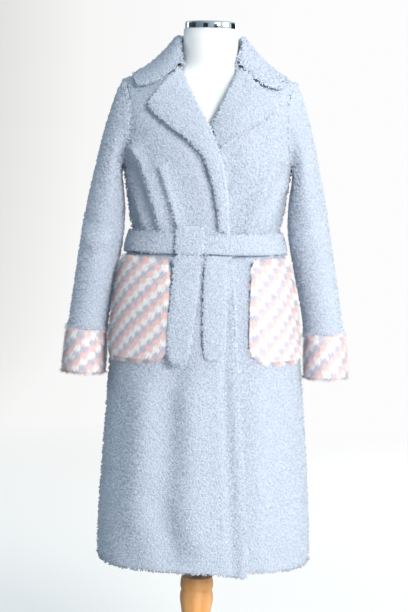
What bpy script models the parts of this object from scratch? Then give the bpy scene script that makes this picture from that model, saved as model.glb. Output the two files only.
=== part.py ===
"""Belted wrap coat in curly pile cloth on a limbless dress form with a turned wooden stand.

Sizes are in millimetres and angles in degrees, and the mesh builders turn them into metres.
The wearer's left is +X, the front faces -Y, and the stand rests on Z = 0.
"""

from collections import namedtuple

import bmesh
import bpy
import numpy as np

# Driving sizes
MM = 0.001
SEAM = 0.3
PILE = 9.0
CHECK_PILE = 13.0
ON_CLOTH = 1.7
ON_FOLDS = 2.8
ARMHOLE_GAP = 0.7
ROUNDNESS = 0.88
ANGLE_STEP = 0.05
HEIGHT_STEP = 0.5
SHARP_ANGLE = 50.0

HEM = 392.0
HIP = 1000.0
BELT = 1092.0
BELT_WIDTH = 50.0
ARMPIT = 1270.0
SHOULDER_TIP = 1440.0
NECKLINE = 1474.0

SKIRT_ROWS = 12
BODICE_ROWS = 12
ARMHOLE_STEPS = 11
SHOULDER_ROWS = 5
FRONT_COLUMNS = 10
BACK_COLUMNS = 12
SIDE_COLUMNS = 4
SIDE_START = 54.0
ARMHOLE_INSET = 20.0
UNDERLAP = PILE + 2.6
UNDERLAP_RAMP = 70.0
FOLD_FADE = 25.0
HEM_DROOP = 9.0
DROOP_WIDTH = 80.0
DROOP_HEIGHT = 170.0

# The coat's outer form, from the hem up: half width, depths before and behind, sideways shift
Section = namedtuple("Section", "height half_width front back shift")
COAT_SECTIONS = (
    Section(392, 234, 178, 170, 12),
    Section(460, 233, 176, 168, 11),
    Section(620, 224, 168, 160, 9),
    Section(790, 212, 158, 150, 6),
    Section(900, 203, 152, 145, 3),
    Section(1000, 190, 142, 138, 1),
    Section(1045, 180, 131, 128, 0),
    Section(1067, 171, 123, 119, 0),
    Section(1092, 163, 118, 113, 0),
    Section(1117, 158, 116, 111, 0),
    Section(1135, 165, 122, 116, 0),
    Section(1160, 169, 127, 119, 0),
    Section(1200, 174, 132, 122, 0),
    Section(1270, 187, 138, 126, 0),
    Section(1320, 197, 134, 123, 0),
    Section(1360, 203, 126, 118, 0),
    Section(1400, 205, 110, 108, 0),
    Section(1425, 200, 92, 98, 0),
    Section(1440, 191, 80, 88, 0),
    Section(1450, 156, 73, 84, 0),
    Section(1460, 117, 68, 80, 0),
    Section(1474, 82, 62, 76, 0),
)

# Soft ridges and troughs of the worn cloth, from their upper to their lower end
Fold = namedtuple("Fold", "face top_x top_z low_x low_z spread rise")
FOLDS = (
    Fold("front", -158, 1285, -106, 1128, 17, 7),
    Fold("front", -172, 1240, -138, 1140, 15, -6),
    Fold("front", -109, 1246, -74, 1132, 15, 6),
    Fold("front", -128, 1225, -98, 1140, 12, -4),
    Fold("front", 152, 1370, 104, 1128, 18, 7),
    Fold("front", 128, 1330, 76, 1140, 16, -5),
    Fold("front", 70, 1260, 58, 1140, 14, -4),
    Fold("front", -82, 760, -57, 610, 34, -7),
    Fold("front", -165, 740, -184, 560, 36, -6),
    Fold("front", -130, 800, -128, 480, 34, 4),
    Fold("front", 160, 790, 176, 520, 36, -5),
    Fold("front", 128, 820, 140, 460, 34, 4),
    Fold("back", -90, 1260, -62, 1135, 20, 6),
    Fold("back", -38, 1245, -24, 1135, 18, -5),
    Fold("back", 30, 1265, 22, 1135, 20, 6),
    Fold("back", 92, 1250, 70, 1138, 18, 5),
    Fold("back", -110, 1010, -128, 620, 34, -7),
    Fold("back", -30, 980, -34, 520, 36, 6),
    Fold("back", 60, 1000, 74, 560, 36, -7),
    Fold("back", 140, 960, 158, 600, 34, 5),
)

# Front edge and roll line of the front that laps over; the other front has its mirror image
EdgePoint = namedtuple("EdgePoint", "height x")
FRONT_EDGE = (
    EdgePoint(392, 108),
    EdgePoint(545, 99),
    EdgePoint(755, 80),
    EdgePoint(1030, 62),
    EdgePoint(1092, 52),
    EdgePoint(1152, 45),
    EdgePoint(1200, 42),
    EdgePoint(1264, 31),
    EdgePoint(1305, 17),
    EdgePoint(1346, 0),
    EdgePoint(1378, -18),
    EdgePoint(1413, -38),
    EdgePoint(1453, -55),
    EdgePoint(1474, -58),
)

# Lapels across, from the roll line to the outer edge, from the gorge seam down; x runs outwards
LapelRow = namedtuple("LapelRow", "roll_x roll_z edge_x edge_z")
LAPEL_RIGHT = (
    LapelRow(57, 1468, 128, 1391),
    LapelRow(46, 1430, 129, 1379),
    LapelRow(32, 1402, 103, 1356),
    LapelRow(16, 1374, 67, 1329),
    LapelRow(0, 1346, 38, 1309),
    LapelRow(-17, 1305, 13, 1287),
    LapelRow(-31, 1264, -1, 1259),
    LapelRow(-42, 1200, -18, 1200),
    LapelRow(-45, 1152, -25, 1154),
    LapelRow(-47, 1121, -29, 1121),
)
LAPEL_LEFT = (
    LapelRow(57, 1468, 140, 1388),
    LapelRow(46, 1430, 141, 1373),
    LapelRow(32, 1402, 118, 1353),
    LapelRow(18, 1374, 90, 1341),
    LapelRow(6, 1349, 62, 1322),
    LapelRow(14, 1322, 42, 1308),
    LapelRow(23, 1302, 30, 1298),
)
LAPEL_COLUMNS = 6
LAPEL_LIFT = 4.0
LAPEL_ROLL = 0.7

# Collar from its front end to the back: fold crest, then the middle and the edge of the fall
CollarRow = namedtuple(
    "CollarRow", "angle crest_out crest_z mid_angle mid_z mid_lift edge_angle edge_z edge_lift"
)
COLLAR_ROWS = (
    CollarRow(43, 0.5, 1486, 28, 1432, 10, 46.5, 1414, 9.5),
    CollarRow(60, -5, 1514, 42, 1451, 13, 54, 1434, 8),
    CollarRow(76, -8, 1532, 66, 1459, 19, 70, 1445, 6.5),
    CollarRow(92, -10.5, 1541, 91, 1460.5, 22, 91, 1449, 5.8),
    CollarRow(130, -9, 1542, 130, 1461, 19, 128, 1445, 5.8),
    CollarRow(180, -4.5, 1540, 180, 1474, 12, 180, 1438, 6.5),
)
COLLAR_STEPS = 13
CREST_RADIUS = 5.4
STAND_POINTS = 3
CREST_POINTS = 5
FALL_POINTS = 5

# Sleeve rings below the armhole at the wearer's left: share of the oval, its ends and its depth
SleeveRing = namedtuple("SleeveRing", "blend inner_x inner_z outer_x outer_z half_depth centre_y")
SLEEVE_RINGS = (
    SleeveRing(0.55, 191, 1258, 207, 1412, 71, 0),
    SleeveRing(0.9, 189, 1240, 219, 1366, 68, 0),
    SleeveRing(1, 184, 1216, 231, 1322, 65, 1),
    SleeveRing(1, 180, 1190, 242, 1270, 62, 2),
    SleeveRing(1, 177.5, 1160, 254, 1216, 60, 3),
    SleeveRing(1, 178, 1120, 266, 1158, 57, 4),
    SleeveRing(1, 181, 1086, 274, 1106, 55, 4),
    SleeveRing(1, 189, 1040, 281, 1050, 53, 3),
    SleeveRing(1, 198, 985, 288, 992, 52, 2),
    SleeveRing(1, 206, 938, 294, 944, 51, 1),
    SleeveRing(1, 211, 896, 299, 902, 50, 0),
)
# Cuffs, from the seam with the sleeve down to the open end
CUFF_RINGS = (
    SleeveRing(1, 209.5, 895.7, 302, 901.7, 53, 0),
    SleeveRing(1, 209, 880, 306, 886, 55, 0),
    SleeveRing(1, 209.5, 840, 310, 845, 57, -1),
    SleeveRing(1, 210.5, 812, 313, 816, 57, -1),
    SleeveRing(1, 212, 799, 312, 803, 56, -1),
)

# The left arm hangs a little further out
LEFT_SWING = 10.0
SWING_TOP = 1160.0
SWING_LOW = 880.0

# Patch pockets: outline on the front, with rounded lower corners
Pocket = namedtuple("Pocket", "name side inner_x outer_angle")
POCKETS = (
    Pocket("pocket_right", -1, 72, 75),
    Pocket("pocket_left", 1, 98, 73),
)
POCKET_TOP = 1060.0
POCKET_BOTTOM = 843.0
POCKET_CORNER = 38.0
DEGREES_PER_MM = 0.33
POCKET_ROWS = 7
CORNER_ROWS = 5
POCKET_COLUMNS = 9

# Belt ends, from their tops down: side edges and height off the coat
TieRow = namedtuple("TieRow", "height left_x right_x lift")
TIE_RIGHT = (
    TieRow(1060.6, -63, -7, 12.5),
    TieRow(1046, -64, -9, 15.5),
    TieRow(1000, -66, -13, 15),
    TieRow(959, -70, -16.5, 15),
    TieRow(915, -73, -20.5, 15),
    TieRow(868, -73, -25, 15),
    TieRow(848, -69, -29, 15),
    TieRow(838, -60, -38, 15),
)
TIE_LEFT = (
    TieRow(1066.6, 0, 42, 2.2),
    TieRow(1045, -1, 44, 3),
    TieRow(1001, -4, 46, 3),
    TieRow(930, -3, 47, 3),
    TieRow(872, -1, 47, 3),
    TieRow(856, 4, 43, 3),
    TieRow(848, 14, 33, 3),
)
TIE_COLUMNS = 5
BAND_COLUMNS = 44
BAND_ROWS = 3
BAND_CROWN = 1.5

# The half knot: the belt's strip from behind its crest, over the band and down to its end
KNOT_ROWS = (
    TieRow(1123.5, -52, -14, 6),
    TieRow(1128, -56, -9, 8),
    TieRow(1131, -58, -6, 12.5),
    TieRow(1127, -60, -4, 17),
    TieRow(1112, -61, -3, 19.4),
    TieRow(1092, -62, -3, 19.4),
    TieRow(1074, -62.5, -5, 19),
    TieRow(1062.8, -63, -7, 17),
)

# Dress form inside the coat: room under the shoulder line, depths before and behind
FormSection = namedtuple("FormSection", "height room front back")
FORM_SECTIONS = (
    FormSection(756, 62, 84, 102),
    FormSection(770, 48, 94, 112),
    FormSection(850, 30, 106, 122),
    FormSection(950, 28, 106, 112),
    FormSection(1092, 30, 90, 86),
    FormSection(1200, 25, 107, 98),
    FormSection(1270, 22, 112, 105),
    FormSection(1360, 14, 99, 100),
    FormSection(1400, 6, 84, 92),
    FormSection(1432, 3.2, 66, 78),
    FormSection(1441, 0.6, 62, 74),
    FormSection(1450, 0.4, 57, 70),
    FormSection(1474, 0.4, 50, 63),
)
NeckSection = namedtuple("NeckSection", "height half_width front back")
NECK_SECTIONS = (
    NeckSection(1474, 66, 51, 60),
    NeckSection(1484, 62, 55, 60),
    NeckSection(1500, 60.3, 59.5, 60),
    NeckSection(1553.2, 60, 60, 60),
)
FORM_ROWS = 15
FORM_SHOULDER = 1390.0
FORM_SIDES = 28

# Turned pieces of the stand and the neck ring, from the bottom up
TurnedPoint = namedtuple("TurnedPoint", "radius height")
BASE_PROFILE = (
    TurnedPoint(205, 0),
    TurnedPoint(210, 5),
    TurnedPoint(210, 20),
    TurnedPoint(203, 30),
    TurnedPoint(150, 36),
    TurnedPoint(70, 42),
    TurnedPoint(42, 46),
)
POST_PROFILE = (
    TurnedPoint(34, 46.3),
    TurnedPoint(30, 60),
    TurnedPoint(23, 100),
    TurnedPoint(22, 150),
    TurnedPoint(26, 215),
    TurnedPoint(33, 275),
    TurnedPoint(37, 293),
    TurnedPoint(37, 306),
    TurnedPoint(34, 318),
    TurnedPoint(36.7, 325),
    TurnedPoint(36.7, 340),
    TurnedPoint(34, 347),
)
POLE_PROFILE = (TurnedPoint(12.5, 347.3), TurnedPoint(12.5, 755.7))
RING_PROFILE = (
    TurnedPoint(55.5, 1553.5),
    TurnedPoint(57, 1555),
    TurnedPoint(57, 1568),
    TurnedPoint(55.5, 1569.5),
    TurnedPoint(45, 1570.5),
)
TURNED_SIDES = 28

# Finishes: colour, roughness, metallic value
Finish = namedtuple("Finish", "name colour roughness metallic")
BLUE_PILE = Finish("curly_blue_pile", (0.45, 0.56, 0.71), 0.95, 0.0)
CHECK = Finish("check_pile", (0.86, 0.66, 0.68), 0.95, 0.0)
WHITE_FORM = Finish("white_form", (0.88, 0.88, 0.88), 0.45, 0.0)
CHROME = Finish("chrome", (0.75, 0.76, 0.78), 0.08, 1.0)
WOOD = Finish("turned_wood", (0.72, 0.38, 0.16), 0.5, 0.0)


def smooth(xs, ys, x):
    """Read at x a soft curve through the points (xs, ys) that does not overshoot them."""
    xs = np.asarray(xs, float)
    ys = np.asarray(ys, float)
    slope = np.diff(ys) / np.diff(xs)
    product = slope[:-1] * slope[1:]
    total = np.where(product > 0, slope[:-1] + slope[1:], 1.0)
    inner = np.where(product > 0, 2 * product / total, 0.0)
    tangent = np.concatenate([slope[:1], inner, slope[-1:]])
    span = np.clip(np.searchsorted(xs, x, side="right") - 1, 0, len(xs) - 2)
    width = xs[span + 1] - xs[span]
    t = (x - xs[span]) / width
    rest = 1 - t
    ends = ys[span] * (1 + 2 * t) * rest**2 + ys[span + 1] * (1 + 2 * rest) * t**2
    return ends + width * t * rest * (tangent[span] * rest - tangent[span + 1] * t)


def read(table, column, at, key="height"):
    """Read a named column of a table, smoothly, at values of its key column."""
    keys = [getattr(row, key) for row in table]
    values = [getattr(row, column) for row in table]
    return smooth(keys, values, np.asarray(at, float))


def soft_step(share):
    """Ease from 0 to 1."""
    share = np.clip(share, 0, 1)
    return share * share * (3 - 2 * share)


def unit(vectors):
    """Vectors of length 1."""
    return vectors / np.linalg.norm(vectors, axis=-1, keepdims=True)


def bent(value):
    """A sine or cosine bent to the coat's squarer section."""
    return np.sign(value) * np.abs(value) ** ROUNDNESS


def oval(angle, half_width, front, back):
    """The x and y of a section at an angle from the front towards the wearer's left."""
    turn = np.radians(angle)
    depth = np.where(np.cos(turn) > 0, front, back)
    return half_width * bent(np.sin(turn)), -depth * bent(np.cos(turn))


def body(angle, height):
    """Points of the coat's outer form before its folds."""
    angle, height = np.broadcast_arrays(np.asarray(angle, float), np.asarray(height, float))
    sizes = [read(COAT_SECTIONS, column, height) for column in ("half_width", "front", "back")]
    x, y = oval(angle, *sizes)
    return np.stack([x + read(COAT_SECTIONS, "shift", height), y, height], axis=-1)


def outward(angle, height):
    """Unit normals of the coat's outer form."""
    across = body(angle + ANGLE_STEP, height) - body(angle - ANGLE_STEP, height)
    up = body(angle, height + HEIGHT_STEP) - body(angle, height - HEIGHT_STEP)
    return unit(np.cross(across, up))


def fold_rise(points):
    """How far the folds raise or sink the cloth at points of its form."""
    rise = np.zeros(points.shape[:-1])
    for fold in FOLDS:
        start = np.array([fold.top_x, fold.top_z])
        run = np.array([fold.low_x, fold.low_z]) - start
        away = points[..., [0, 2]] - start
        share = np.clip(away @ run / (run @ run), 0, 1)
        distance = np.linalg.norm(away - share[..., None] * run, axis=-1)
        facing = points[..., 1] * (-1 if fold.face == "front" else 1)
        fade = soft_step(facing / FOLD_FADE)
        rise += fold.rise * np.exp(-((distance / fold.spread) ** 2)) * fade
    return rise


def cloth(angle, height, lift=0.0):
    """Points of the worn cloth, moved out by lift."""
    angle, height = np.broadcast_arrays(np.asarray(angle, float), np.asarray(height, float))
    points = body(angle, height)
    rise = fold_rise(points) + lift
    return points + outward(angle, height) * rise[..., None]


def front_angle(x, height):
    """Angle of the front's point at a sideways place and a height."""
    half_width = read(COAT_SECTIONS, "half_width", height)
    share = (x - read(COAT_SECTIONS, "shift", height)) / half_width
    sine = np.sign(share) * np.abs(np.clip(share, -1, 1)) ** (1 / ROUNDNESS)
    return np.degrees(np.arcsin(sine))


def side_angle(height):
    """Angle of the side seam, the armhole above the armpit, and the shoulder seam above its tip."""
    share = np.clip((height - ARMPIT) / (SHOULDER_TIP - ARMPIT), 0, 1)
    pit, tip = read(COAT_SECTIONS, "half_width", [ARMPIT, SHOULDER_TIP])
    x = pit + (tip - pit) * share - 2 * ARMHOLE_INSET * np.sqrt(share * (1 - share))
    return np.where(share * (1 - share) > 0, front_angle(x, height), 90.0)


def underlap(x, height):
    """How far the left front lies in under the right one."""
    beyond = read(FRONT_EDGE, "x", height) + UNDERLAP_RAMP - x
    return UNDERLAP * soft_step(beyond / UNDERLAP_RAMP)


def hem_droop(x, height):
    """How far the hem of the right front sinks towards its free edge."""
    near_edge = (x - read(FRONT_EDGE, "x", height) + DROOP_WIDTH) / DROOP_WIDTH
    near_hem = (HEM + DROOP_HEIGHT - height) / DROOP_HEIGHT
    return HEM_DROOP * soft_step(near_edge) * soft_step(near_hem)


def armhole_heights():
    """Heights of the armhole's points, from the armpit to the shoulder tip."""
    turn = np.radians(np.linspace(0, 180, ARMHOLE_STEPS + 1))
    return ARMPIT + (SHOULDER_TIP - ARMPIT) * (1 - np.cos(turn)) / 2


def panel_heights():
    """Heights of the rows that fronts and back share."""
    skirt = np.linspace(HEM, HIP, SKIRT_ROWS)
    bodice = np.linspace(HIP, ARMPIT, BODICE_ROWS)[1:]
    shoulder = np.linspace(SHOULDER_TIP, NECKLINE, SHOULDER_ROWS)[1:]
    return np.concatenate([skirt, bodice, armhole_heights()[1:], shoulder])


def make_material(finish):
    """The finish as a material."""
    material = bpy.data.materials.get(finish.name)
    if material is None:
        material = bpy.data.materials.new(finish.name)
        material.use_nodes = True
        shader = material.node_tree.nodes["Principled BSDF"]
        shader.inputs["Base Color"].default_value = (*finish.colour, 1)
        shader.inputs["Roughness"].default_value = finish.roughness
        shader.inputs["Metallic"].default_value = finish.metallic
    return material


def make_object(name, points, faces, finish):
    """A named object from points in millimetres, its faces turned outwards."""
    shape = bmesh.new()
    corners = [shape.verts.new(point * MM) for point in points]
    for face in faces:
        shape.faces.new([corners[index] for index in face])
    bmesh.ops.recalc_face_normals(shape, faces=shape.faces)
    mesh = bpy.data.meshes.new(name)
    shape.to_mesh(mesh)
    shape.free()
    mesh.shade_smooth()
    mesh.set_sharp_from_angle(angle=np.radians(SHARP_ANGLE))
    mesh.materials.append(make_material(finish))
    bpy.context.collection.objects.link(bpy.data.objects.new(name, mesh))


def wall(name, outer, inner, finish, closed=False):
    """A cloth wall between two grids of points; a closed one joins its last column to its first."""
    rows, columns = outer.shape[:2]
    number = np.arange(2 * rows * columns).reshape(2, rows, columns)
    if closed:
        number = np.concatenate([number, number[:, :, :1]], axis=2)
    faces = []
    for side in number:
        for low, high in zip(side[:-1], side[1:]):
            faces += zip(low[:-1], low[1:], high[1:], high[:-1])
    rims = [number[:, 0], number[:, -1]]
    if not closed:
        rims += [number[:, :, 0], number[:, :, -1]]
    for out, within in rims:
        faces += zip(out[:-1], out[1:], within[1:], within[:-1])
    points = np.concatenate([outer.reshape(-1, 3), inner.reshape(-1, 3)])
    make_object(name, points, faces, finish)


def filled(name, rings, finish):
    """A solid through rings of points, with flat ends."""
    rows, columns = rings.shape[:2]
    number = np.arange(rows * columns).reshape(rows, columns)
    number = np.concatenate([number, number[:, :1]], axis=1)
    faces = []
    for low, high in zip(number[:-1], number[1:]):
        faces += zip(low[:-1], low[1:], high[1:], high[:-1])
    faces.append(tuple(number[0, :-1]))
    faces.append(tuple(number[-1, :-1]))
    make_object(name, rings.reshape(-1, 3), faces, finish)


def grid_normals(grid):
    """Unit normals of a grid of points."""
    return unit(np.cross(np.gradient(grid, axis=1), np.gradient(grid, axis=0)))


def part_sides(*grids):
    """Draw the first and last columns of grids back by half a seam gap."""
    for grid in grids:
        for edge, beside in ((0, 1), (-1, -2)):
            grid[:, edge] += SEAM / 2 * unit(grid[:, beside] - grid[:, edge])


def side_columns(heights):
    """Angles of a panel's last columns, up to its side seam, armhole and shoulder seam."""
    share = np.linspace(0, 1, SIDE_COLUMNS)[1:]
    return SIDE_START + (side_angle(heights) - SIDE_START) * share


def make_fronts():
    """The two fronts, from the front edge to the side seam, armhole and shoulder seam."""
    heights = panel_heights()[:, None]
    share = np.linspace(0, 1, FRONT_COLUMNS)
    edge_x = read(FRONT_EDGE, "x", heights)
    side = side_columns(heights)
    for name, hand in (("front_right", -1), ("front_left", 1)):
        edge = front_angle(-hand * edge_x, heights)
        angles = edge + (hand * SIDE_START - edge) * share
        angles = np.concatenate([angles, hand * side], axis=1)
        x = body(angles, heights)[..., 0]
        if hand > 0:
            lift = -underlap(x, heights)
            hung = heights
        else:
            lift = 0.0
            hung = heights - hem_droop(x, heights)
        outer = cloth(angles, hung, lift)
        inner = cloth(angles, hung, lift - PILE)
        part_sides(outer, inner)
        wall(name, outer, inner, BLUE_PILE)


def make_back():
    """The back, from side seam to side seam, with level neckline and hem."""
    heights = panel_heights()[:, None]
    side = side_columns(heights)
    middle = np.linspace(180 - SIDE_START, 180 + SIDE_START, BACK_COLUMNS) + 0 * heights
    angles = np.concatenate([180 - side[:, ::-1], middle, 180 + side], axis=1)
    outer = cloth(angles, heights)
    inner = cloth(angles, heights, -PILE)
    part_sides(outer, inner)
    wall("back", outer, inner, BLUE_PILE)


def armhole_loop():
    """Points of the left armhole on the coat's outside, from the armpit up the front and down the back."""
    heights = armhole_heights()
    side = side_angle(heights)
    front = cloth(side, heights)
    back = cloth(180 - side, heights)
    return np.concatenate([front, back[-2:0:-1]])


def inset_loop(loop, depth):
    """The loop drawn in by depth within the vertical plane along Y and Z."""
    along = unit(np.roll(loop, -1, axis=0)[:, 1:] - np.roll(loop, 1, axis=0)[:, 1:])
    drawn = loop.copy()
    drawn[:, 1] += depth * along[:, 1]
    drawn[:, 2] -= depth * along[:, 0]
    return drawn


def sleeve_oval(ring, turn, depth):
    """One ring of a sleeve, drawn in by depth; turn starts at the arm's inner side, front first."""
    inner = np.array([ring.inner_x, ring.centre_y, ring.inner_z])
    outer = np.array([ring.outer_x, ring.centre_y, ring.outer_z])
    reach = (outer - inner) / 2
    reach -= depth * unit(reach)
    across = np.array([0, depth - ring.half_depth, 0])
    points = (inner + outer) / 2 - np.cos(turn)[:, None] * reach
    return points + np.sin(turn)[:, None] * across


def swung(points):
    """The left arm's points, which hang a little further out towards the cuff."""
    swing = LEFT_SWING * soft_step((SWING_TOP - points[..., 2]) / (SWING_TOP - SWING_LOW))
    moved = points.copy()
    moved[..., 0] += swing
    return moved


def make_sleeves():
    """Both sleeves, from the armhole to the cuff, and both cuffs."""
    loop = armhole_loop() + np.array([ARMHOLE_GAP, 0, ARMHOLE_GAP])
    turn = np.linspace(0, 2 * np.pi, len(loop), endpoint=False)
    outer = [loop]
    inner = [inset_loop(loop, PILE)]
    for ring in SLEEVE_RINGS:
        for rings, depth in ((outer, 0), (inner, PILE)):
            seam = rings[0]
            rings.append(seam + ring.blend * (sleeve_oval(ring, turn, depth) - seam))
    cuff_outer = [sleeve_oval(ring, turn, 0) for ring in CUFF_RINGS]
    cuff_inner = [sleeve_oval(ring, turn, CHECK_PILE) for ring in CUFF_RINGS]
    sleeve = np.array([outer, inner])
    cuff = np.array([cuff_outer, cuff_inner])
    wall("sleeve_left", *swung(sleeve), BLUE_PILE, True)
    wall("cuff_left", *swung(cuff), CHECK, True)
    mirror = np.array([-1, 1, 1])
    wall("sleeve_right", *(sleeve * mirror), BLUE_PILE, True)
    wall("cuff_right", *(cuff * mirror), CHECK, True)


def make_lapels():
    """The lapels, turned back on the fronts and lifting towards their outer edges."""
    share = np.linspace(0, 1, LAPEL_COLUMNS)
    for name, hand, table in (("lapel_right", -1, LAPEL_RIGHT), ("lapel_left", 1, LAPEL_LEFT)):
        rows = np.array(table, float)
        x = hand * (rows[:, [0]] + (rows[:, [2]] - rows[:, [0]]) * share)
        z = rows[:, [1]] + (rows[:, [3]] - rows[:, [1]]) * share
        lift = ON_CLOTH + LAPEL_LIFT * np.sin(np.pi * LAPEL_ROLL * share)
        if hand > 0:
            lift = lift - underlap(x, z)
        angles = front_angle(x, z)
        wall(name, cloth(angles, z, lift + PILE), cloth(angles, z, lift), BLUE_PILE)


def collar_centreline(row):
    """Middle of the collar's cloth at one place: up the stand, over the crest, down the fall."""
    neck = body(row.angle, NECKLINE)
    out = outward(row.angle, NECKLINE) * np.array([1, 1, 0])
    out = unit(out)
    up = np.array([0, 0, 1.0])
    base = neck - out * PILE / 2 + up * SEAM
    crest = neck + out * row.crest_out
    crest[2] = row.crest_z - PILE / 2 - CREST_RADIUS
    edge = cloth(row.edge_angle, row.edge_z, row.edge_lift)
    stand = base + (crest - out * CREST_RADIUS - base) * np.linspace(0, 1, STAND_POINTS)[:, None]
    turn = np.linspace(np.pi, 0, CREST_POINTS + 2)[1:-1, None]
    over = crest + CREST_RADIUS * (np.cos(turn) * out + np.sin(turn) * up)
    start = crest + out * CREST_RADIUS
    t = np.linspace(0, 1, FALL_POINTS)[:, None]
    middle = cloth(row.mid_angle, row.mid_z, row.mid_lift)
    pull = 2 * middle - (start + edge) / 2
    fall = start * (1 - t) ** 2 + 2 * pull * t * (1 - t) + edge * t**2
    return np.concatenate([stand, over, fall])


def make_collar():
    """The collar, from notch to notch round the neck."""
    key = [row.angle for row in COLLAR_ROWS]
    angles = np.linspace(key[0], key[-1], COLLAR_STEPS)
    columns = CollarRow._fields[1:]
    rows = [
        CollarRow(angle, *(float(read(COLLAR_ROWS, column, angle, "angle")) for column in columns))
        for angle in angles
    ]
    half = np.array([collar_centreline(row) for row in rows])
    centre = np.concatenate([half, half[-2::-1] * np.array([-1, 1, 1])])
    normal = grid_normals(centre)
    wall("collar", centre + normal * PILE / 2, centre - normal * PILE / 2, BLUE_PILE)


def make_pockets():
    """Patch pockets laid on the fronts."""
    turn = np.radians(np.linspace(0, 90, CORNER_ROWS))[:-1]
    low = POCKET_BOTTOM + POCKET_CORNER * (1 - np.cos(turn))
    high = np.linspace(POCKET_BOTTOM + POCKET_CORNER, POCKET_TOP, POCKET_ROWS)
    height = np.concatenate([low, high])[:, None]
    above = np.clip((height - POCKET_BOTTOM) / POCKET_CORNER, 0, 1)
    corner = POCKET_CORNER * (1 - np.sqrt(above * (2 - above)))
    share = np.linspace(0, 1, POCKET_COLUMNS)
    for pocket in POCKETS:
        inner_edge = front_angle(pocket.side * (pocket.inner_x + corner), height)
        outer_edge = pocket.side * (pocket.outer_angle - corner * DEGREES_PER_MM)
        angles = inner_edge + (outer_edge - inner_edge) * share
        lift = ON_CLOTH
        if pocket.side > 0:
            lift = ON_CLOTH - underlap(body(angles, height)[..., 0], height)
        wall(
            pocket.name,
            cloth(angles, height, lift + CHECK_PILE),
            cloth(angles, height, lift),
            CHECK,
        )


def tie_grid(table, lift=0.0):
    """Points of a belt strip across its rows, moved out by lift."""
    rows = np.array(table, float)
    share = np.linspace(0, 1, TIE_COLUMNS)
    height = rows[:, [0]] + 0 * share
    x = rows[:, [1]] + (rows[:, [2]] - rows[:, [1]]) * share
    return cloth(front_angle(x, height), height, rows[:, [3]] + lift)


def make_belt():
    """The belt: its band, its half knot and its two hanging ends."""
    angles = np.linspace(0, 360, BAND_COLUMNS, endpoint=False)
    across = np.linspace(-1, 1, BAND_ROWS)[:, None]
    heights = BELT + across * BELT_WIDTH / 2
    crown = BAND_CROWN * (1 - across**2)
    outer = cloth(angles, heights, ON_FOLDS + PILE + crown)
    wall("belt_band", outer, cloth(angles, heights, ON_FOLDS), BLUE_PILE, True)

    middle = tie_grid(KNOT_ROWS)
    normal = grid_normals(middle)
    wall("belt_knot", middle + normal * PILE / 2, middle - normal * PILE / 2, BLUE_PILE)
    for name, table in (("belt_end_right", TIE_RIGHT), ("belt_end_left", TIE_LEFT)):
        wall(name, tie_grid(table, PILE), tie_grid(table), BLUE_PILE)


def make_form():
    """The dress form's torso and neck; its shoulder line carries the coat."""
    angles = np.linspace(0, 360, FORM_SIDES, endpoint=False)
    shared = panel_heights()
    below = np.linspace(FORM_SECTIONS[0].height, FORM_SHOULDER, FORM_ROWS)
    levels = np.concatenate([below, shared[shared > FORM_SHOULDER]])
    under = PILE + read(FORM_SECTIONS, "room", levels)
    ridge = body(90, levels) - outward(90, levels) * under[:, None]
    ridge[:, 0] -= read(COAT_SECTIONS, "shift", levels)
    heights = np.where(levels > FORM_SHOULDER, ridge[:, 2], levels)
    rings = []
    for half_width, height in zip(ridge[:, 0], heights):
        sizes = [read(FORM_SECTIONS, column, height) for column in ("front", "back")]
        x, y = oval(angles, half_width, *sizes)
        rings.append(np.stack([x, y, np.full_like(x, height)], axis=-1))
    for section in NECK_SECTIONS:
        x, y = oval(angles, section.half_width, section.front, section.back)
        rings.append(np.stack([x, y, np.full_like(x, section.height)], axis=-1))
    filled("form_torso", np.array(rings), WHITE_FORM)


def make_turned(name, profile, finish):
    """A turned piece about the stand's axis."""
    turn = np.linspace(0, 2 * np.pi, TURNED_SIDES, endpoint=False)
    rings = [
        np.stack(
            [point.radius * np.cos(turn), point.radius * np.sin(turn), np.full_like(turn, point.height)],
            axis=-1,
        )
        for point in profile
    ]
    filled(name, np.array(rings), finish)


def main():
    """Clear the scene and make every piece."""
    for thing in list(bpy.data.objects):
        bpy.data.objects.remove(thing)
    make_fronts()
    make_back()
    make_sleeves()
    make_lapels()
    make_collar()
    make_pockets()
    make_belt()
    make_form()
    make_turned("form_neck_ring", RING_PROFILE, CHROME)
    make_turned("stand_pole", POLE_PROFILE, CHROME)
    make_turned("stand_post", POST_PROFILE, WOOD)
    make_turned("stand_base", BASE_PROFILE, WOOD)


main()
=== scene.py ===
"""Looks of a belted coat in curly pile on a dress form: cloth shells, pile, form, stand, light and camera.

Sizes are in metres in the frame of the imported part: +Z up, the coat's front towards -Y, its left at +X.
"""

import logging
import math
from dataclasses import dataclass, field
from enum import Enum

import bmesh
import bpy
import numpy as np
from mathutils import Matrix, Quaternion, Vector
from mathutils.bvhtree import BVHTree
from mathutils.kdtree import KDTree


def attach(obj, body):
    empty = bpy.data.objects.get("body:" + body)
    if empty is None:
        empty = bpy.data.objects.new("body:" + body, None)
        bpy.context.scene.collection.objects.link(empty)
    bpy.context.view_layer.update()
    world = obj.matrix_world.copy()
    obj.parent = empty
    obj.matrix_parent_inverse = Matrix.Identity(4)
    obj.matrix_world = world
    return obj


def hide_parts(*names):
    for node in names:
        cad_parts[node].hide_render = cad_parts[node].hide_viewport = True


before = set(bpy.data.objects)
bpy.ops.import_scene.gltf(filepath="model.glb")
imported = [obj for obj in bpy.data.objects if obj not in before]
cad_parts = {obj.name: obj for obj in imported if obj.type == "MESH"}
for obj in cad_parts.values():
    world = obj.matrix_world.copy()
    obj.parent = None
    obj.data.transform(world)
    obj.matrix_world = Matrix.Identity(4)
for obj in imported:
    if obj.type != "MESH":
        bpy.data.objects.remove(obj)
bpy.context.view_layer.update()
LOG = logging.getLogger("coat")

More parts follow.
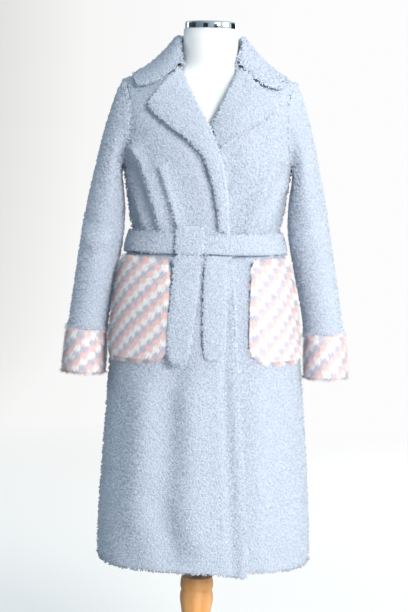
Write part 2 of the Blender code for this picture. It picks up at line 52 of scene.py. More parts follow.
Array = np.ndarray
Material = bpy.types.Material
Mesh = bpy.types.Mesh
Object = bpy.types.Object
Socket = bpy.types.NodeSocket
Colour = tuple[float, float, float]
Triple = tuple[float, float, float]
Pair = tuple[float, float]

ROOT = "root"
BAKE_MAP = "OFBake"
CLOTH_MAP = "cloth"
STRAND = "strand"
MERGE = 1e-5
LEAST = 1e-12  # keeps a division from failing
NO_LOOK = 1e-6  # shorter directions count as none
ACROSS, UP = 0, 2  # axes
SIDES = 3  # sides of a tuft
SHARP = math.radians(50)
MILLIMETRES = 1000
STAND_AXIS = {"cent": (0, 0, 0), "axis": (0, 0, 1)}
CLOSE = 0.0015  # a gap that still counts as a closed seam
UNDER = 0.0005  # how far under the surface a look for covers begins
FADE = 0.03  # depth over which a crease fades in from the side seams
ASLANT = (0.31, 0.12, 0.94)  # a direction that no cloth looks along
EVEN_STEPS = (0.7548776662, 0.5698402910)  # steps that spread points evenly over a square
PATCH_SIDE, PATCH_START = 0.3, -0.45  # where a tuft's sides lie across its patch of the bake map


class Faces(Enum):
    """Which faces of a cloth piece may carry pile."""

    OUTSIDE = "those that look away from the wearer"
    OPEN = "all that nothing covers"


class View(Enum):
    """The side of the coat on which a crease lies, as the sign of its Y."""

    FRONT = -1
    BACK = 1


def soft_step(share: Array) -> Array:
    """Ease from 0 to 1 as share goes from 0 to 1."""
    share = np.clip(share, 0, 1)
    return share * share * (3 - 2 * share)


def unit(vectors: Array) -> Array:
    """Vectors of length 1."""
    return vectors / np.maximum(np.linalg.norm(vectors, axis=-1, keepdims=True), LEAST)


def numbers(items: bpy.types.bpy_prop_collection, name: str, width: int, kind: type = float) -> Array:
    """Read one value of every item of a mesh.

    Args:
        items: Vertices, loops or faces of a mesh.
        name: The value's name.
        width: How many numbers one value holds.
        kind: The numbers' type.

    Returns:
        An array with one row for each item, or flat for single numbers.
    """
    values = np.empty(len(items) * width, np.float32 if kind is float else np.int32)
    items.foreach_get(name, values)
    values = values.astype(kind)
    return values.reshape(-1, width) if width > 1 else values


def finished(shape: bmesh.types.BMesh, name: str) -> Mesh:
    """Close a bmesh and keep its shape.

    Args:
        shape: The bmesh.
        name: The new mesh's name.

    Returns:
        The new mesh.
    """
    mesh = bpy.data.meshes.new(name)
    shape.to_mesh(mesh)
    shape.free()
    return mesh


def aimed(place: Triple, aim: Triple) -> Quaternion:
    """The turn of a lamp or camera that looks from one place to another."""
    return (Vector(aim) - Vector(place)).to_track_quat("-Z", "Y")


def link(obj: Object) -> Object:
    """Put a new object into the scene."""
    bpy.context.scene.collection.objects.link(obj)
    return obj


def put(mesh: Mesh, node: str, slot: str, *skins: Material) -> Object:
    """Dress a finished mesh, put it into the scene as a piece of the part and report it.

    Args:
        mesh: The piece's mesh, whose name it takes.
        node: The solid that it replaces.
        slot: The finish that it wears; not used.
        *skins: Its materials.

    Returns:
        The piece.
    """
    for skin in skins:
        mesh.materials.append(skin)
    piece = link(bpy.data.objects.new(mesh.name, mesh))
    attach(piece, ROOT)
    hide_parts(node)
    LOG.info("%s: %d faces", piece.name, len(mesh.polygons))
    return piece


class Nodes:
    """The node tree of one new material or sky, with short ways to add and join its nodes."""

    def __init__(self, name: str, store: str = "materials", shader: str = "Principled BSDF") -> None:
        """Start a tree that holds its usual shader alone.

        Args:
            name: The new material's or sky's name.
            store: Where it is kept.
            shader: Its shader's name.
        """
        self.owner = getattr(bpy.data, store).new(name)
        self.owner.use_nodes = True
        self.tree = self.owner.node_tree
        self.shader = self.tree.nodes[shader]

    def add(self, kind: str, inputs: dict | None = None, **settings: object) -> bpy.types.Node:
        """Add a node.

        Args:
            kind: The node's type, without its prefix.
            inputs: Values or output sockets for its inputs, by name or number.
            **settings: The node's own settings.

        Returns:
            The node.
        """
        node = self.tree.nodes.new("ShaderNode" + kind)
        for name, value in settings.items():
            setattr(node, name, value)
        self.feed(node, inputs or {})
        return node

    def feed(self, node: bpy.types.Node, inputs: dict) -> None:
        """Set or join a node's inputs.

        Args:
            node: The node.
            inputs: Values or output sockets, by name or number.
        """
        for name, value in inputs.items():
            if isinstance(value, Socket):
                self.tree.links.new(value, node.inputs[name])
            else:
                node.inputs[name].default_value = value

    def place(self) -> Socket:
        """The piece's own coordinates."""
        return self.add("TexCoord").outputs["Object"]

    def strand(self) -> tuple[Socket, ...]:
        """The place along a strand, its own chance number and the place round it."""
        return self.split(self.add("Attribute", attribute_name=STRAND).outputs["Vector"])

    def split(self, vector: Socket) -> tuple[Socket, ...]:
        """The three numbers of a vector."""
        return tuple(self.add("SeparateXYZ", {0: vector}).outputs)

    def math(self, operation: str, *values: float | Socket) -> Socket:
        """Work out one number from others."""
        return self.add("Math", dict(enumerate(values)), operation=operation).outputs[0]

    def ranged(self, value: Socket, start: float, end: float) -> Socket:
        """The share of the way from start to end."""
        return self.add("MapRange", {"Value": value, "From Min": start, "From Max": end}).outputs["Result"]

    def ramp(self, at: Socket, stops: list[tuple[float, Colour]], steps: bool = False) -> Socket:
        """Read colours along a ramp.

        Args:
            at: Where to read it.
            stops: Each colour's place and value.
            steps: Whether each colour holds up to the next one.

        Returns:
            The colour socket.
        """
        node = self.add("ValToRGB", {"Fac": at})
        if steps:
            node.color_ramp.interpolation = "CONSTANT"
        while len(node.color_ramp.elements) < len(stops):
            node.color_ramp.elements.new(1.0)
        for element, (place, colour) in zip(node.color_ramp.elements, stops):
            element.position = place
            element.color = (*colour, 1)
        return node.outputs["Color"]

    def multiply(self, first: Socket, second: Socket) -> Socket:
        """Multiply two colours.

        Args:
            first: One colour.
            second: The other.

        Returns:
            The colour socket.
        """
        node = self.add("Mix", data_type="RGBA", blend_type="MULTIPLY")
        self.feed(node, {0: 1.0, 6: first, 7: second})
        return node.outputs[2]

    def noise(self, scale: float, detail: float = 2.0, place: Socket | None = None) -> Socket:
        """Soft noise, on the piece's own coordinates if no others are given."""
        place = place or self.place()
        return self.add("TexNoise", {"Vector": place, "Scale": scale, "Detail": detail}).outputs["Fac"]

    def bump(self, height: Socket, depth: float, strength: float) -> None:
        """Give the surface fine relief."""
        node = self.add("Bump", {"Height": height, "Distance": depth, "Strength": strength})
        self.feed(self.shader, {"Normal": node.outputs["Normal"]})


@dataclass(frozen=True)
class PileFinish:
    """Finish of a pile, whose strands and fibres each differ a little."""

    name: str
    tint: float = 0.04  # how far tufts, fibres and patches swing around the colour
    fibre: float = 0.12
    mottle: float = 0.06
    mottle_scale: float = 9.0
    streaks: float = 5.0  # fibres across a tuft
    apart: float = 70.0  # keeps the fibres of two tufts from matching

    def colour(self, nodes: Nodes) -> Socket:
        """The pile's own colour, before its unevenness."""
        raise NotImplementedError

    def material(self) -> Material:
        """Make the material of the strands.

        Returns:
            The material.
        """
        nodes = Nodes(self.name)
        along, chance, across = nodes.strand()
        streak = nodes.math("MULTIPLY_ADD", across, self.streaks, nodes.math("MULTIPLY", chance, self.apart))
        fibres = nodes.add("CombineXYZ", {0: streak, 1: along}).outputs[0]
        level = self.around(nodes, chance, self.tint)
        fine = nodes.noise(scale=1.0, detail=1.0, place=fibres)
        for share, swing in ((fine, self.fibre), (nodes.noise(self.mottle_scale), self.mottle)):
            level = nodes.math("MULTIPLY", level, self.around(nodes, share, swing))
        grey = nodes.add("CombineColor", {0: level, 1: level, 2: level}).outputs[0]
        colour = nodes.multiply(self.colour(nodes), grey)
        nodes.feed(nodes.shader, {"Base Color": colour, "Roughness": 0.95, "Specular IOR Level": 0.0})
        return nodes.owner

    @staticmethod
    def around(nodes: Nodes, share: Socket, swing: float) -> Socket:
        """A factor that swings around 1 as share goes from 0 to 1."""
        return nodes.math("MULTIPLY_ADD", share, 2 * swing, 1 - swing)


@dataclass(frozen=True)
class CurlFinish(PileFinish):
    """Finish of the short pile: its strands run from a root darkened with painted shade to a lighter tip."""

    fibre: float = 0.16
    # painted shade: the root colour is darker to stand for the shade deep in the pile, since the tufts cast
    # no shadows
    root: Colour = (0.45, 0.50, 0.61)
    tip: Colour = (0.59, 0.645, 0.725)
    tip_start: float = 0.75

    def colour(self, nodes: Nodes) -> Socket:
        """The curls' colour along a strand, with painted shade towards the root."""
        return nodes.ramp(nodes.strand()[0], [(0.0, self.root), (self.tip_start, self.tip)])


@dataclass(frozen=True)
class CheckFinish(PileFinish):
    """Finish of the long pile: a small three-colour check whose diagonals climb towards the wearer's left."""

    white: Colour = (0.98, 0.96, 0.95)
    lilac: Colour = (0.58, 0.55, 0.65)
    pink: Colour = (0.98, 0.62, 0.59)
    block_width: float = 0.0152
    block_height: float = 0.0142

    def colour(self, nodes: Nodes) -> Socket:
        """Work out the check's colour at a strand's root.

        Args:
            nodes: The material's nodes.

        Returns:
            The colour socket.
        """
        across, up, _ = nodes.split(nodes.add("UVMap", uv_map=CLOTH_MAP).outputs["UV"])
        column = nodes.math("FLOOR", nodes.math("DIVIDE", across, self.block_width))
        down = nodes.math("DIVIDE", up, -self.block_height)
        row = nodes.math("FLOOR", nodes.math("ADD", down, column))
        kind = nodes.math("DIVIDE", nodes.math("FLOORED_MODULO", row, 3.0), 3.0)
        third = 1 / 3
        return nodes.ramp(
            nodes.math("ADD", kind, third / 2),
            [(0.0, self.pink), (third, self.white), (2 * third, self.lilac)],
            steps=True,
        )


@dataclass(frozen=True)
class BackingFinish:
    """Finish of the cloth under the pile: matted short curls, with painted shade in their gaps."""

    name: str
    # painted shade: low is the darker colour in the gaps between curls, high the lighter colour on their tops
    low: Colour
    high: Colour
    curl: float = 250.0
    swirl: float = 160.0
    wave: float = 0.004
    relief: float = 0.0018

    def material(self) -> Material:
        """Make the material."""
        nodes = Nodes(self.name)
        place = nodes.place()
        swirl = nodes.add("TexNoise", {"Vector": place, "Scale": self.swirl, "Detail": 1.0}).outputs["Color"]
        shift = nodes.add("VectorMath", {0: swirl, "Scale": self.wave}, operation="SCALE").outputs["Vector"]
        moved = nodes.add("VectorMath", {0: place, 1: shift}, operation="ADD").outputs["Vector"]
        cells = nodes.add("TexVoronoi", {"Vector": moved, "Scale": self.curl}, feature="F1")
        height = nodes.math("SUBTRACT", 1.0, cells.outputs["Distance"])
        # painted shade: darker in the gaps between curls, lighter on their tops
        colour = nodes.ramp(height, [(0.25, self.low), (0.8, self.high)])
        nodes.feed(nodes.shader, {"Base Color": colour, "Roughness": 0.92, "Specular IOR Level": 0.0})
        nodes.bump(height, self.relief, strength=0.9)
        return nodes.owner


@dataclass(frozen=True)
class LiningFinish:
    """Finish of the plain inner side."""

    name: str
    colour: Colour
    darker: float = 0.86
    patches: float = 60.0
    stitch: float = 900.0
    relief: float = 0.0006

    def material(self) -> Material:
        """Make the material."""
        nodes = Nodes(self.name)
        dark = tuple(self.darker * value for value in self.colour)
        colour = nodes.ramp(nodes.noise(self.patches), [(0.3, dark), (0.7, self.colour)])
        nodes.feed(nodes.shader, {"Base Color": colour, "Roughness": 0.9, "Sheen Weight": 0.2})
        nodes.bump(nodes.noise(self.stitch), self.relief, strength=0.6)
        return nodes.owner


@dataclass(frozen=True)
class Tuft:
    """Shape of one tuft, a thin bent cone, and how tufts stand on the cloth; angles are in degrees."""

    length: float
    width: float
    spacing: float
    lean: float = 0.0
    curl: float = 0.0
    twist: float = 0.0
    wander: float = 0.0
    uneven: float = 0.25  # share by which tufts differ
    softness: float = 0.6  # share of the cloth's own direction in their shading
    lock: float = 0.0  # size of locks that lean one way
    stray: float = 0.0  # how far they stray over the edges of the check
    deep: float = 0.0006  # how far roots sit in the cloth
    taper: tuple[float, ...] = (1.0, 1.05)  # width of each ring below the tip


@dataclass
class Roots:
    """Where tufts stand: places, normals, the way light meets them, the way they fall, cloth coordinates."""

    places: Array
    normals: Array
    shade: Array
    fall: Array
    cloth: Array
    extent: Array

    def some(self, chosen: Array) -> "Roots":
        """A part of the roots, on the same cloth."""
        rows = (self.places, self.normals, self.shade, self.fall, self.cloth)
        return Roots(*(row[chosen] for row in rows), self.extent)


@dataclass
class Pile:
    """Tufts of one kind and finish that stand on a cloth piece."""

    tuft: Tuft
    finish: PileFinish
    ground: BackingFinish
    depth: float
    seed: int = 1
    most: int = 180000  # triangles in one piece
    skins: list[Material] = field(default_factory=list, repr=False)

    def materials(self) -> list[Material]:
        """The materials of the strands and of the cloth under them, made once for each kind of pile."""
        if not self.skins:
            self.skins = [self.finish.material(), self.ground.material()]
        return self.skins

    def lines(self, roots: Roots, rng: np.random.Generator) -> tuple[Array, Array, Array]:
        """Work out the middle lines of the tufts.

        Args:
            roots: Where the tufts stand.
            rng: The seeded source of unevenness.

        Returns:
            Points along every tuft, the way it runs at each of them, and its sideways direction there.
        """
        tuft = self.tuft
        count, steps = len(roots.places), len(tuft.taper)
        normal, down = roots.normals, roots.fall
        beside = np.cross(normal, down)
        way = self.locks(roots, rng) + np.radians(tuft.wander) * rng.uniform(-1, 1, count)
        turn = np.radians(tuft.twist) * rng.uniform(-1, 1, count)
        lean, curl, length = (
            value * rng.uniform(1 - tuft.uneven, 1 + tuft.uneven, count)
            for value in (np.radians(tuft.lean), np.radians(tuft.curl), tuft.length)
        )
        points, runs, sides = [roots.places - normal * tuft.deep], [], []
        for step in range(steps):
            share = (step + 0.5) / steps
            angle = (way + turn * share)[:, None]
            along = np.cos(angle) * down + np.sin(angle) * beside
            tilt = (lean + curl * share)[:, None]
            run = np.cos(tilt) * normal + np.sin(tilt) * along
            points.append(points[-1] + (length / steps)[:, None] * run)
            runs.append(run)
            sides.append(np.cross(normal, along))
        return np.stack(points, axis=1), np.stack(runs, axis=1), np.stack(sides, axis=1)

    def locks(self, roots: Roots, rng: np.random.Generator) -> Array:
        """Gather tufts into small curly locks.

        Args:
            roots: Where the tufts stand.
            rng: The seeded source of unevenness.

        Returns:
            For each tuft the angle to which its whole lock leans.
        """
        count, lock = len(roots.places), self.tuft.lock
        if not lock:
            return np.zeros(count)
        heads = max(1, int(count * min(1, self.tuft.spacing / lock) ** 2))
        tree = KDTree(heads)
        for number in rng.choice(count, heads, replace=False).tolist():
            tree.insert(roots.places[number], number)
        tree.balance()
        nearest = np.array([tree.find(place)[1] for place in roots.places.tolist()])
        return rng.uniform(-math.pi, math.pi, count)[nearest]

    def grow(self, node: str, roots: Roots) -> list[Object]:
        """Make all tufts, as one piece or, where there are very many, as several from the top down.

        Args:
            node: The solid on which they stand.
            roots: Where the tufts stand.

        Returns:
            The pieces.
        """
        triangles = SIDES * (2 * len(self.tuft.taper) - 1)
        parts = -(-len(roots.places) * triangles // self.most)
        order = np.argsort(-roots.places[:, 2])
        pieces = []
        for number, chosen in enumerate(np.array_split(order, parts)):
            name = f"{node}_pile_{number + 1}" if parts > 1 else f"{node}_pile"
            pieces.append(self.tufts(name, node, roots.some(chosen)))
        return pieces

    def tufts(self, name: str, node: str, roots: Roots) -> Object:
        """Make tufts as one joined mesh; light passes between them, so they shade nothing.

        Args:
            name: The new piece's name.
            node: The solid on which they stand.
            roots: Where the tufts stand.

        Returns:
            The piece.
        """
        rng = np.random.default_rng(self.seed)
        lines, runs, sides = self.lines(roots, rng)
        count, steps, ring = len(lines), len(self.tuft.taper), np.arange(SIDES)
        phase = rng.uniform(0, math.tau, (count, 1, 1, 1)) + math.tau * ring[:, None] / SIDES
        axes = np.concatenate([roots.normals[:, None], runs[:, 1:]], axis=1)
        out = np.cos(phase) * sides[:, :, None] + np.sin(phase) * np.cross(axes, sides)[:, :, None]
        half = 0.5 * self.tuft.width * np.array(self.tuft.taper)[:, None, None]
        rings = (lines[:, :-1, None] + out * half).reshape(count, -1, 3)
        points = np.concatenate([rings, lines[:, -1:]], axis=1)
        own = np.concatenate([out.reshape(count, -1, 3), runs[:, -1:]], axis=1)
        looks = unit(own * (1 - self.tuft.softness) + roots.shade[:, None] * self.tuft.softness)
        corners, sizes, marks = self.faces(steps)
        each = SIDES * steps + 1
        loops = (np.arange(count)[:, None] * each + corners).ravel()
        totals = np.tile(sizes, count)
        mesh = bpy.data.meshes.new(name)
        mesh.vertices.add(count * each)
        mesh.vertices.foreach_set("co", points.reshape(-1).astype(np.float32))
        mesh.loops.add(len(loops))
        mesh.loops.foreach_set("vertex_index", loops.astype(np.int32))
        mesh.polygons.add(len(totals))
        mesh.polygons.foreach_set("loop_start", (np.cumsum(totals) - totals).astype(np.int32))
        mesh.update(calc_edges=True)
        mesh.shade_smooth()
        mesh.normals_split_custom_set_from_vertices(looks.reshape(-1, 3).astype(np.float32))
        strand = np.zeros((count, each, 3), np.float32)
        strand[..., 0] = np.append(np.repeat(np.arange(steps), SIDES), steps) / steps
        strand[..., 1] = rng.random((count, 1))
        strand[..., 2] = np.append(np.tile(ring / (SIDES - 1), steps), 0.5)
        mesh.attributes.new(STRAND, "FLOAT_VECTOR", "POINT").data.foreach_set("vector", strand.ravel())
        self.map_cloth(mesh, roots, marks)
        piece = put(mesh, node, self.finish.name, self.materials()[0])
        piece.visible_shadow = False
        piece.visible_diffuse = False
        return piece

    @staticmethod
    def faces(steps: int) -> tuple[Array, Array, Array]:
        """The faces of one three-sided tuft.

        Args:
            steps: How many rings it has below its tip.

        Returns:
            The points at the faces' corners, how many each face has, and where each corner lies on a patch.
        """
        corners, marks = [], []
        for ring in range(steps):
            low, high = ring / steps - 0.5, (ring + 1) / steps - 0.5
            for side in range(SIDES):
                here, after = SIDES * ring + side, SIDES * ring + (side + 1) % SIDES
                left = PATCH_SIDE * side + PATCH_START
                right = left + PATCH_SIDE
                if ring < steps - 1:
                    corners.append((here, after, after + SIDES, here + SIDES))
                    marks.append(((left, low), (right, low), (right, high), (left, high)))
                else:
                    corners.append((here, after, SIDES * steps))
                    marks.append(((left, low), (right, low), ((left + right) / 2, high)))
        sizes = np.array([len(face) for face in corners])
        return np.concatenate(corners), sizes, np.concatenate(marks)

    def map_cloth(self, mesh: Mesh, roots: Roots, marks: Array) -> None:
        """Write the cloth coordinates of each root, and a map in which every tuft has a patch of its own.

        Args:
            mesh: The tufts' mesh.
            roots: Where the tufts stand.
            marks: Where the corners of one tuft's faces lie on its patch.
        """
        stray = np.random.default_rng(self.seed).normal(0, 1, roots.cloth.shape) * self.tuft.stray
        checked = np.repeat((roots.cloth + stray)[:, None], len(marks), axis=1)
        patches = roots.cloth[:, None] + marks * self.tuft.spacing
        patches = (patches - roots.extent[0]) / (roots.extent[1] - roots.extent[0])
        for name, values in ((CLOTH_MAP, checked), (BAKE_MAP, patches)):
            mesh.uv_layers.new(name=name).data.foreach_set("uv", values.astype(np.float32).ravel())


@dataclass(frozen=True)
class Crease:
    """A soft ridge, or a trough where rise is negative, along a path of sideways places and heights."""

    view: View
    path: tuple[Pair, ...]
    spread: float
    rise: float

    def lift(self, points: Array) -> Array:
        """Work out how far the crease moves the cloth out.

        Args:
            points: Places on the cloth.

        Returns:
            The distance at each place.
        """
        flat = points[:, [ACROSS, UP]]
        nearest = np.full(len(points), np.inf)
        for start, end in zip(self.path[:-1], self.path[1:]):
            start = np.array(start)
            run = np.array(end) - start
            share = np.clip((flat - start) @ run / (run @ run), 0, 1)
            nearest = np.minimum(nearest, np.linalg.norm(flat - start - share[:, None] * run, axis=1))
        facing = soft_step(points[:, 1] * self.view.value / FADE)
        return self.rise * np.exp(-((nearest / self.spread) ** 2)) * facing


def creases(view: View, *rows: tuple) -> tuple[Crease, ...]:
    """Read a table of creases.

    Args:
        view: The side on which they lie.
        *rows: Spread, rise and the places along the path of each, in millimetres.

    Returns:
        The creases, in metres.
    """
    made = []
    for spread, rise, *path in rows:
        places = tuple((across / MILLIMETRES, up / MILLIMETRES) for across, up in path)
        made.append(Crease(view, places, spread / MILLIMETRES, rise / MILLIMETRES))
    return tuple(made)


@dataclass(frozen=True)
class Cut:
    """The flat cut of a cloth piece and how it is held."""

    width: float
    length: float
    area: float
    held: str = "hung"


class Surroundings:
    """All solids of the part, to find what covers a place."""

    def __init__(self) -> None:
        """Gather the triangles of every solid in one search tree."""
        points, faces, start = [], [], 0
        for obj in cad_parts.values():
            obj.data.calc_loop_triangles()
            points.append(numbers(obj.data.vertices, "co", 3))
            faces.append(numbers(obj.data.loop_triangles, "vertices", 3, int) + start)
            start += len(points[-1])
        corners = np.concatenate(points).tolist()
        self.everything = BVHTree.FromPolygons(corners, np.concatenate(faces).tolist())

    def covered(self, places: Array, normals: Array, reach: float, margin: float = 0.0) -> Array:
        """Which places have something close in front of them.

        Args:
            places: Points on the cloth.
            normals: The way each of them looks.
            reach: How far it looks.
            margin: How far the cover must reach past the place on all sides.

        Returns:
            True for each place that is covered.
        """
        beside = unit(np.cross(normals, np.array(ASLANT)))
        across = np.cross(normals, beside)
        under = np.ones(len(places), bool)
        for way in (0 * beside, beside, -beside, across, -across) if margin else (0 * beside,):
            rest = np.flatnonzero(under)
            begin = places[rest] + margin * way[rest] - normals[rest] * UNDER
            rays = zip(begin, normals[rest])
            under[rest] = [self.enters(Vector(place), Vector(look), reach) for place, look in rays]
        return under

    def enters(self, place: Vector, way: Vector, reach: float) -> bool:
        """Whether a look along a line meets the outside of a solid.

        Args:
            place: Where it begins.
            way: Where it goes.
            reach: How far it goes.

        Returns:
            True if it does.
        """
        while reach > 0:
            spot, look, _, run = self.everything.ray_cast(place, way, reach)
            if spot is None:
                return False
            if look.dot(way) < 0:
                return True
            place = spot + way * MERGE
            reach -= run + MERGE
        return False


def softened(node: str, name: str, levels: int, hold: float = 1.0) -> Mesh:
    """A finer, rounder copy of a solid.

    Args:
        node: The solid's name.
        name: The new mesh's name.
        levels: How often each face is divided.
        hold: How sharp its rims stay, from 0 to 1.

    Returns:
        The new mesh.
    """
    shape = bmesh.new()
    shape.from_mesh(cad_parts[node].data)
    bmesh.ops.remove_doubles(shape, verts=shape.verts, dist=MERGE)
    bmesh.ops.join_triangles(
        shape,
        faces=shape.faces,
        angle_face_threshold=math.radians(40),
        angle_shape_threshold=math.radians(60),
    )
    crease = shape.edges.layers.float.new("crease_edge")
    for edge in shape.edges:
        if edge.calc_face_angle(0.0) > SHARP:
            edge[crease] = hold
    coarse = finished(shape, name + "_coarse")
    helper = link(bpy.data.objects.new(coarse.name, coarse))
    finer = helper.modifiers.new("finer", "SUBSURF")
    finer.levels = levels
    finer.render_levels = levels
    graph = bpy.context.evaluated_depsgraph_get()
    mesh = bpy.data.meshes.new_from_object(helper.evaluated_get(graph))
    mesh.name = name
    mesh.materials.clear()
    bpy.data.objects.remove(helper)
    bpy.data.meshes.remove(coarse)
    mesh.shade_smooth()
    return mesh


def turned(name: str, profile: tuple[Pair, ...], steps: int = 72) -> Mesh:
    """A piece turned about the stand's axis.

    Args:
        name: The new mesh's name.
        profile: Radius and height of each point, from axis to axis.
        steps: How many steps go round.

    Returns:
        The new mesh.
    """
    shape = bmesh.new()
    points = [shape.verts.new((radius, 0.0, height)) for radius, height in profile]
    edges = [shape.edges.new(pair) for pair in zip(points[:-1], points[1:])]
    bmesh.ops.spin(shape, geom=points + edges, angle=math.tau, steps=steps, use_merge=True, **STAND_AXIS)
    bmesh.ops.remove_doubles(shape, verts=shape.verts, dist=MERGE)
    bmesh.ops.recalc_face_normals(shape, faces=shape.faces)
    mesh = finished(shape, name)
    mesh.shade_smooth()
    mesh.set_sharp_from_angle(angle=SHARP)
    return mesh


@dataclass
class ClothPiece:
    """One sewn piece of the coat: a thin shell on its solid's form, with the pile that stands on it.

    Limits compare the way a face looks with the way out from the middle: 1 is straight out, -1 straight in.
    """

    node: str
    cut: Cut
    pile: Pile
    rests_on: tuple[str, ...] = ("form_torso",)
    core: tuple[Triple, ...] = ((0.39, 0.012, 0.0), (1.0, 0.0, 0.0), (1.5, 0.0, 0.0))
    faces: Faces = Faces.OUTSIDE
    flat: bool = False
    levels: int = 2
    hold: float = 0.0
    creases: tuple[Crease, ...] = ()
    cover: float = 0.0045  # a cover this near hides the pile
    margin: float = 0.0080  # if it reaches this far past it
    seam: float = 0.0080  # a neighbour this near a side face makes a seam
    seam_sink: float = 0.25  # share of the sinking that is left at seams
    allowance: float = 0.0014  # how far seams move out to meet
    rim: float = 0.0018  # how far rims sink
    rim_start: float = 0.75  # limit at which rims begin
    rim_run: float = 0.5  # change of look over which they run
    inner_limit: float = -0.15  # least for pile
    seam_limit: float = -0.7  # least for a seam
    side_limit: float = 0.5  # most for a side face
    face_limit: float = 0.6  # least for the face of a flat piece
    crowd_limit: float = 0.8  # most for a crowded rim
    crowd: float = 2.5  # how many times more tufts a flat piece's rim carries
    rim_light: float = 1.6  # how far the light on rims is turned out
    flat_light: float = 0.5  # and on flat pieces
    fall_out: float = 0.35  # how far pile falls outwards
    columns: int = 39  # steps in which the way round is measured
    behind: float = 1.0  # how far behind a flat piece its middle line stands
    sewn_pile: bool = False
    mesh: Mesh | None = field(default=None, repr=False)
    bearing: Array | None = field(default=None, repr=False)
    joined: Array | None = field(default=None, repr=False)
    looks: Array | None = field(default=None, repr=False)

    def build(self, around: Surroundings, lining: Material) -> None:
        """Make the shell and its pile.

        Args:
            around: The part's solids.
            lining: Material of its inner side.
        """
        self.mesh = softened(self.node, self.node + "_cloth", self.levels, self.hold)
        self.shape()
        if self.flat:
            self.lay_flat()
            self.seam = CLOSE
        self.find_bearing(around)
        solid = self.points()
        self.lay_creases()
        self.find_looks()
        self.sink()
        shell = put(self.mesh, self.node, self.pile.finish.name, self.pile.materials()[1], lining)
        skins = np.where(self.bearing | self.joined, 0, 1).astype(np.int32)
        self.mesh.polygons.foreach_set("material_index", skins)
        piles = self.pile.grow(self.node, self.roots(solid, around))

    def points(self) -> Array:
        """Where the cloth's points lie."""
        return numbers(self.mesh.vertices, "co", 3)

    def centres(self) -> Array:
        """Where its faces lie."""
        return numbers(self.mesh.polygons, "center", 3)

    def normals(self) -> Array:
        """The way each face looks."""
        return numbers(self.mesh.polygons, "normal", 3)

    def corners(self) -> tuple[Array, Array]:
        """The point and the face of every corner."""
        totals = numbers(self.mesh.polygons, "loop_total", 1, int)
        return numbers(self.mesh.loops, "vertex_index", 1, int), np.repeat(np.arange(len(totals)), totals)

    def move(self, places: Array) -> None:
        """Move the cloth's points to new places."""
        self.mesh.vertices.foreach_set("co", places.astype(np.float32).ravel())
        self.mesh.update()

    def shape(self) -> None:
        """Change the whole form of the piece; most pieces keep their solid's."""

    def lay_flat(self) -> None:
        """Take a middle line far behind a flat piece, so that its whole face looks one way."""
        centres, normals = self.centres(), self.normals()
        area = numbers(self.mesh.polygons, "area", 1)
        area[np.sum(normals * self.away(centres), axis=1) < self.face_limit] = 0
        look = unit((normals * area[:, None]).sum(axis=0)[:2])
        place = centres.mean(axis=0)[:2] - self.behind * look
        self.core = ((0.0, *place), (2.0, *place))

    def from_middle(self, points: Array) -> Array:
        """Measure from the line in the middle of the body or the arm.

        Args:
            points: Places on the cloth.

        Returns:
            The level step from the line to each place.
        """
        rows = np.array(self.core)
        middle = [np.interp(points[:, 2], rows[:, 0], rows[:, k]) for k in (1, 2)]
        return points[:, :2] - np.stack(middle, axis=-1)

    def away(self, points: Array) -> Array:
        """Look away from the line in the middle.

        Args:
            points: Places on the cloth.

        Returns:
            The level direction at each place.
        """
        way = np.zeros_like(points)
        way[:, :2] = self.from_middle(points)
        return unit(way)

    def find_bearing(self, around: Surroundings) -> None:
        """Find the faces that carry pile, which are those that show, and those that are sewn to others.

        Args:
            around: The part's solids.
        """
        centres, normals = self.centres(), self.normals()
        corners, face = self.corners()
        places = self.points()[corners]
        out = np.sum(normals * self.away(centres), axis=1)
        outside = (out > self.inner_limit) | (self.faces is Faces.OPEN)
        beyond = places + self.margin * unit(places - centres[face])
        shut = around.covered(beyond, normals[face], self.cover)
        shut = np.bincount(face, shut) == np.bincount(face)
        side = out < self.side_limit
        shut[side] = around.covered(centres[side], normals[side], self.seam)
        self.joined = shut & side & (out > self.seam_limit)
        self.bearing = outside & ~shut

    def lay_creases(self) -> None:
        """Lay in the creases, through both sides of the cloth."""
        places = self.points()
        away = self.away(places)
        for crease in self.creases:
            places += away * crease.lift(places)[:, None]
        self.move(places)

    def find_looks(self) -> None:
        """Find the way the cloth looks at each point, from the faces that carry pile alone."""
        corners, face = self.corners()
        kept = self.bearing[face]
        mean = np.zeros((len(self.mesh.vertices), 3))
        np.add.at(mean, corners[kept], self.normals()[face[kept]])
        self.looks = unit(mean) * (np.linalg.norm(mean, axis=1, keepdims=True) > NO_LOOK)

    def sink(self) -> None:
        """Draw the cloth in by the pile's depth, rims and seams less, and close the seams."""
        places = self.points()
        corners, face = self.corners()
        move = -self.pile.depth * self.looks
        if self.faces is Faces.OUTSIDE:
            out = np.sum(self.looks * self.away(places), axis=1, keepdims=True)
            rim = soft_step((self.rim_start - out) / self.rim_run)
            move *= 1 - rim + rim * self.rim / self.pile.depth
        sewn = self.joined[face]
        move[corners[sewn]] *= self.seam_sink
        meeting = 4  # corners that meet at a point
        np.add.at(move, corners[sewn], self.allowance * self.normals()[face[sewn]] / meeting)
        self.move(places + move)

    def cloth_place(self, points: Array) -> Array:
        """Work out coordinates across and up the cloth, in metres.

        Args:
            points: Places on the cloth.

        Returns:
            The way round the body or arm, measured along the cloth, and the height.
        """
        flat = self.from_middle(points)
        turn = np.arctan2(flat[:, 0], -flat[:, 1])
        marks = np.linspace(turn.min(), turn.max(), self.columns + 1)
        bins = np.digitize(turn, marks[1:-1])
        count = np.bincount(bins, minlength=self.columns)
        total = np.bincount(bins, np.linalg.norm(flat, axis=1), minlength=self.columns)
        used = count > 0
        radius = total[used] / count[used]
        centres = 0.5 * (marks[1:] + marks[:-1])[used]
        ring = radius[:, None] * np.column_stack([np.sin(centres), np.cos(centres)])
        run = np.append(0.0, np.cumsum(np.linalg.norm(np.diff(ring, axis=0), axis=1)))
        return np.stack([np.interp(turn, centres, run), points[:, 2]], axis=-1)

